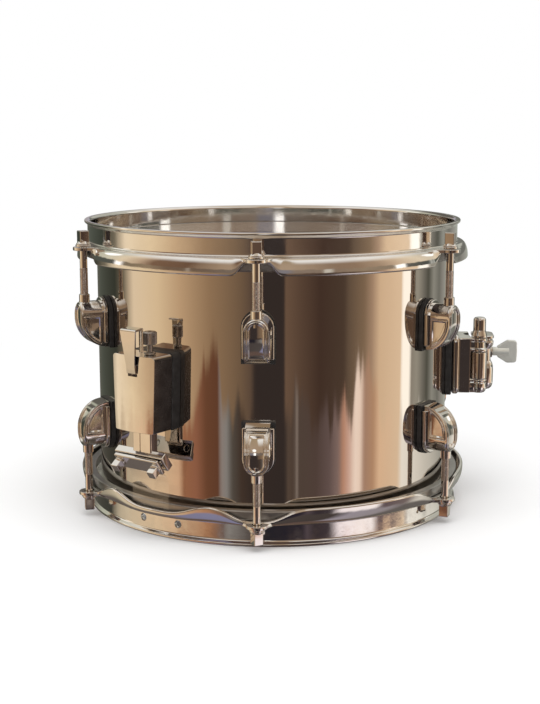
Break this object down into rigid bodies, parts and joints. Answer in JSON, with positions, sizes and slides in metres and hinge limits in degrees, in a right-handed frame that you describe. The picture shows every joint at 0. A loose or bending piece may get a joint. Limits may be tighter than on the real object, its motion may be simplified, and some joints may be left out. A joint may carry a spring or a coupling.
{
  "type": "snare drum",
  "caption": "Small auxiliary snare drum: polished metal shell, flanged hoops, rod-and-lug tuning, throw-off snare strainer with strap, butt plate and a side clamp for a tom rod.",
  "frame": {"origin": "centre of the batter head's playing surface", "axes": "+Z along the drum's axis, out of the batter head; +X towards the tom bracket; -Y towards the first pair of lugs"},
  "size_m": [0.3212, 0.301, 0.205],
  "materials": {
    "chrome": "polished",
    "shell_plate": "mirror polished plate over a steel shell",
    "clear_film": "clear glossy polyester film",
    "aluminium": "satin",
    "rubber": "matt black",
    "knurled_steel": "dark knurled metal",
    "snare_steel": "bright wire"
  },
  "bodies": {
    "drum": {"shell": "shell_plate", "batter_film": "clear_film", "batter_flesh_hoop": "aluminium", "batter_hoop": "chrome", "snare_side_film": "clear_film", "snare_side_flesh_hoop": "aluminium", "snare_side_hoop": "chrome", "lug_batter_1": "chrome", "lug_batter_2": "chrome", "lug_batter_3": "chrome", "lug_batter_4": "chrome", "lug_batter_5": "chrome", "lug_batter_6": "chrome", "lug_snare_1": "chrome", "lug_snare_2": "chrome", "lug_snare_3": "chrome", "lug_snare_4": "chrome", "lug_snare_5": "chrome", "lug_snare_6": "chrome", "lug_gasket_batter_1": "rubber", "lug_gasket_batter_2": "rubber", "lug_gasket_batter_3": "rubber", "lug_gasket_batter_4": "rubber", "lug_gasket_batter_5": "rubber", "lug_gasket_batter_6": "rubber", "lug_gasket_snare_1": "rubber", "lug_gasket_snare_2": "rubber", "lug_gasket_snare_3": "rubber", "lug_gasket_snare_4": "rubber", "lug_gasket_snare_5": "rubber", "lug_gasket_snare_6": "rubber", "strainer_gasket": "rubber", "strainer_housing": "chrome", "strainer_strap": "clear_film", "snare_wires": "snare_steel", "butt_plate": "chrome", "butt_clamp_plate": "chrome", "butt_strap": "clear_film", "bracket_gasket": "rubber", "bracket_base": "chrome", "bracket_hinge_bolt": "chrome"},
    "strainer_lever": {"strainer_lever": "chrome"},
    "strainer_slide": {"strainer_slide": "chrome", "strainer_clamp_plate": "chrome"},
    "strainer_thumbscrew": {"strainer_thumbscrew": "knurled_steel"},
    "bracket_jaw": {"bracket_jaw": "chrome"},
    "bracket_wing_screw": {"bracket_wing_screw": "chrome"},
    "tension_rod_batter_1": {"tension_rod_batter_1": "chrome"},
    "tension_rod_batter_2": {"tension_rod_batter_2": "chrome"},
    "tension_rod_batter_3": {"tension_rod_batter_3": "chrome"},
    "tension_rod_batter_4": {"tension_rod_batter_4": "chrome"},
    "tension_rod_batter_5": {"tension_rod_batter_5": "chrome"},
    "tension_rod_batter_6": {"tension_rod_batter_6": "chrome"},
    "tension_rod_snare_1": {"tension_rod_snare_1": "chrome"},
    "tension_rod_snare_2": {"tension_rod_snare_2": "chrome"},
    "tension_rod_snare_3": {"tension_rod_snare_3": "chrome"},
    "tension_rod_snare_4": {"tension_rod_snare_4": "chrome"},
    "tension_rod_snare_5": {"tension_rod_snare_5": "chrome"},
    "tension_rod_snare_6": {"tension_rod_snare_6": "chrome"}
  },
  "joints": [
    {"name": "batter_rod_1_turn", "type": "hinge", "parent": "drum", "child": "tension_rod_batter_1", "pos_m": [0, -0.1435, 0.0055], "axis": [0, 0, 1], "continuous": true},
    {"name": "batter_rod_2_turn", "type": "hinge", "parent": "drum", "child": "tension_rod_batter_2", "pos_m": [0.12427, -0.07175, 0.0055], "axis": [0, 0, 1], "continuous": true},
    {"name": "batter_rod_3_turn", "type": "hinge", "parent": "drum", "child": "tension_rod_batter_3", "pos_m": [0.12427, 0.07175, 0.0055], "axis": [0, 0, 1], "continuous": true},
    {"name": "batter_rod_4_turn", "type": "hinge", "parent": "drum", "child": "tension_rod_batter_4", "pos_m": [0, 0.1435, 0.0055], "axis": [0, 0, 1], "continuous": true},
    {"name": "batter_rod_5_turn", "type": "hinge", "parent": "drum", "child": "tension_rod_batter_5", "pos_m": [-0.12427, 0.07175, 0.0055], "axis": [0, 0, 1], "continuous": true},
    {"name": "batter_rod_6_turn", "type": "hinge", "parent": "drum", "child": "tension_rod_batter_6", "pos_m": [-0.12427, -0.07175, 0.0055], "axis": [0, 0, 1], "continuous": true},
    {"name": "snare_rod_1_turn", "type": "hinge", "parent": "drum", "child": "tension_rod_snare_1", "pos_m": [0, -0.1435, -0.1845], "axis": [0, 0, -1], "continuous": true},
    {"name": "snare_rod_2_turn", "type": "hinge", "parent": "drum", "child": "tension_rod_snare_2", "pos_m": [0.12427, -0.07175, -0.1845], "axis": [0, 0, -1], "continuous": true},
    {"name": "snare_rod_3_turn", "type": "hinge", "parent": "drum", "child": "tension_rod_snare_3", "pos_m": [0.12427, 0.07175, -0.1845], "axis": [0, 0, -1], "continuous": true},
    {"name": "snare_rod_4_turn", "type": "hinge", "parent": "drum", "child": "tension_rod_snare_4", "pos_m": [0, 0.1435, -0.1845], "axis": [0, 0, -1], "continuous": true},
    {"name": "snare_rod_5_turn", "type": "hinge", "parent": "drum", "child": "tension_rod_snare_5", "pos_m": [-0.12427, 0.07175, -0.1845], "axis": [0, 0, -1], "continuous": true},
    {"name": "snare_rod_6_turn", "type": "hinge", "parent": "drum", "child": "tension_rod_snare_6", "pos_m": [-0.12427, -0.07175, -0.1845], "axis": [0, 0, -1], "continuous": true},
    {"name": "strainer_lever_throw", "type": "hinge", "parent": "drum", "child": "strainer_lever", "pos_m": [-0.08002, -0.12758, -0.0757], "axis": [0.8443, -0.5358, 0], "range_deg": [0, 90]},
    {"name": "strainer_slide_drop", "type": "slide", "parent": "drum", "child": "strainer_slide", "axis": [0, 0, 1], "range_m": [-0.005, 0], "deforming": ["strainer_strap"]},
    {"name": "strainer_thumbscrew_turn", "type": "hinge", "parent": "drum", "child": "strainer_thumbscrew", "pos_m": [-0.07069, -0.12539, -0.0595], "axis": [0, 0, 1], "continuous": true},
    {"name": "bracket_jaw_swing", "type": "hinge", "parent": "drum", "child": "bracket_jaw", "pos_m": [0.1503, -0.0115, -0.092], "axis": [0, 0, -1], "range_deg": [0, 35]},
    {"name": "bracket_wing_screw_turn", "type": "hinge", "parent": "bracket_jaw", "child": "bracket_wing_screw", "pos_m": [0.165, 0.0125, -0.0861], "axis": [1, 0, 0], "continuous": true}
  ],
  "couplings": [
    {"joint": "strainer_lever_throw", "follows": "strainer_slide_drop", "rad_per_m": -314.16}
  ]
}
